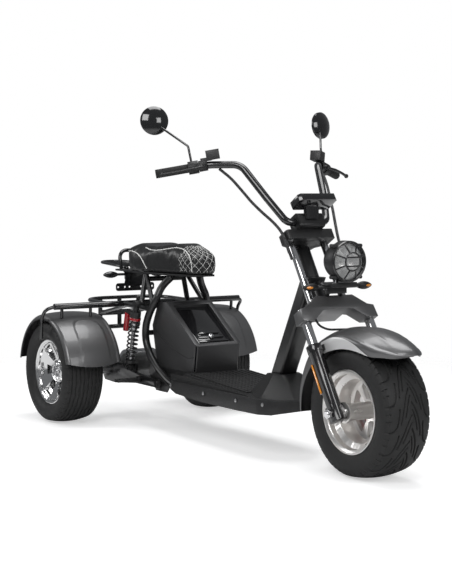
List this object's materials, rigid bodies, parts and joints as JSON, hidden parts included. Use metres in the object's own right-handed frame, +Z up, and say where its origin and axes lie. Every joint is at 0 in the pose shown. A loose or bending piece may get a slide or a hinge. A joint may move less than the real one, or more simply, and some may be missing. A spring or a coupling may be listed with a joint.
{
  "type": "three-wheeled electric scooter",
  "caption": "Stand-on-deck electric scooter on fat tyres: one wheel in a raked telescopic fork, two driven wheels under crowned mudguards, a long quilted saddle and a lidded battery box",
  "frame": {"origin": "on the ground, under the middle of the overall length and width", "axes": "+X toward the front wheel, +Y to the rider's left, +Z up"},
  "size_m": [2.2221, 1.035, 1.3524],
  "materials": {
    "tyre": "matt",
    "polished": "polished",
    "chrome": "bright",
    "black_metal": "gloss",
    "black_frame": "satin",
    "grey_paint": "metallic",
    "silver_cast": "satin",
    "black_plastic": "matt",
    "gloss_plastic": "gloss",
    "dark_grey": "satin",
    "rubber": "matt",
    "leather": "satin",
    "mirror": "mirror",
    "lens": "clear",
    "amber": "clear",
    "red_lens": "clear",
    "steel": "satin",
    "red_paint": "gloss",
    "battery": "matt"
  },
  "bodies": {
    "chassis": {"main_frame": "black_frame", "neck": "black_frame", "deck_floor": "black_plastic", "deck_mat": "rubber", "deck_skirt": "dark_grey", "toe_cover": "black_plastic", "battery_box": "dark_grey", "battery": "battery", "seat_pan": "black_plastic", "seat": "leather", "tail_rack": "black_metal", "plate_bracket": "black_frame", "rear_lamps": "red_lens", "rear_rack": "black_metal", "rear_mudguard_left": "grey_paint", "rear_mudguard_right": "grey_paint", "swing_arm": "black_frame", "rear_axle": "steel", "motor": "silver_cast", "footpegs": "black_frame", "shock_springs": "black_metal", "shock_dampers": "steel", "shock_reservoirs": "red_paint"},
    "steering": {"fork_sliders": "black_metal", "fork_tubes": "chrome", "front_axle": "chrome", "fork_lower_yoke": "silver_cast", "fork_top_clamp": "black_metal", "handlebar_clamp": "black_metal", "handlebar": "black_metal", "grips": "rubber", "switch_clusters": "black_plastic", "brake_controls": "black_plastic", "mirrors": "gloss_plastic", "mirror_glasses": "mirror", "display": "gloss_plastic", "headlight_bowl": "dark_grey", "headlight_lens": "lens", "headlight_guard": "black_metal", "lamp_bracket": "black_frame", "front_indicators": "amber", "fork_reflectors": "amber", "front_mudguard": "grey_paint", "front_caliper": "red_paint", "loom_right": "black_plastic", "loom_left": "black_plastic", "brake_hose": "black_plastic"},
    "front_wheel": {"front_tyre": "tyre", "front_rim": "polished"},
    "rear_left_wheel": {"rear_tyre_left": "tyre", "rear_rim_left": "chrome"},
    "rear_right_wheel": {"rear_tyre_right": "tyre", "rear_rim_right": "chrome"},
    "hatch": {"battery_hatch": "gloss_plastic"}
  },
  "joints": [
    {"name": "steering_turn", "type": "hinge", "parent": "chassis", "child": "steering", "pos_m": [0.49311, 0, 0.70111], "axis": [-0.515, 0, 0.8572], "range_deg": [-35, 35]},
    {"name": "front_wheel_spin", "type": "hinge", "parent": "steering", "child": "front_wheel", "pos_m": [0.846, 0, 0.24], "axis": [0, 1, 0], "continuous": true},
    {"name": "rear_left_spin", "type": "hinge", "parent": "chassis", "child": "rear_left_wheel", "pos_m": [-0.834, 0.385, 0.225], "axis": [0, 1, 0], "continuous": true},
    {"name": "rear_right_spin", "type": "hinge", "parent": "chassis", "child": "rear_right_wheel", "pos_m": [-0.834, -0.385, 0.225], "axis": [0, 1, 0], "continuous": true},
    {"name": "hatch_hinge", "type": "hinge", "parent": "chassis", "child": "hatch", "pos_m": [-0.38144, 0, 0.51779], "axis": [0, -1, 0], "range_deg": [0, 60]}
  ]
}
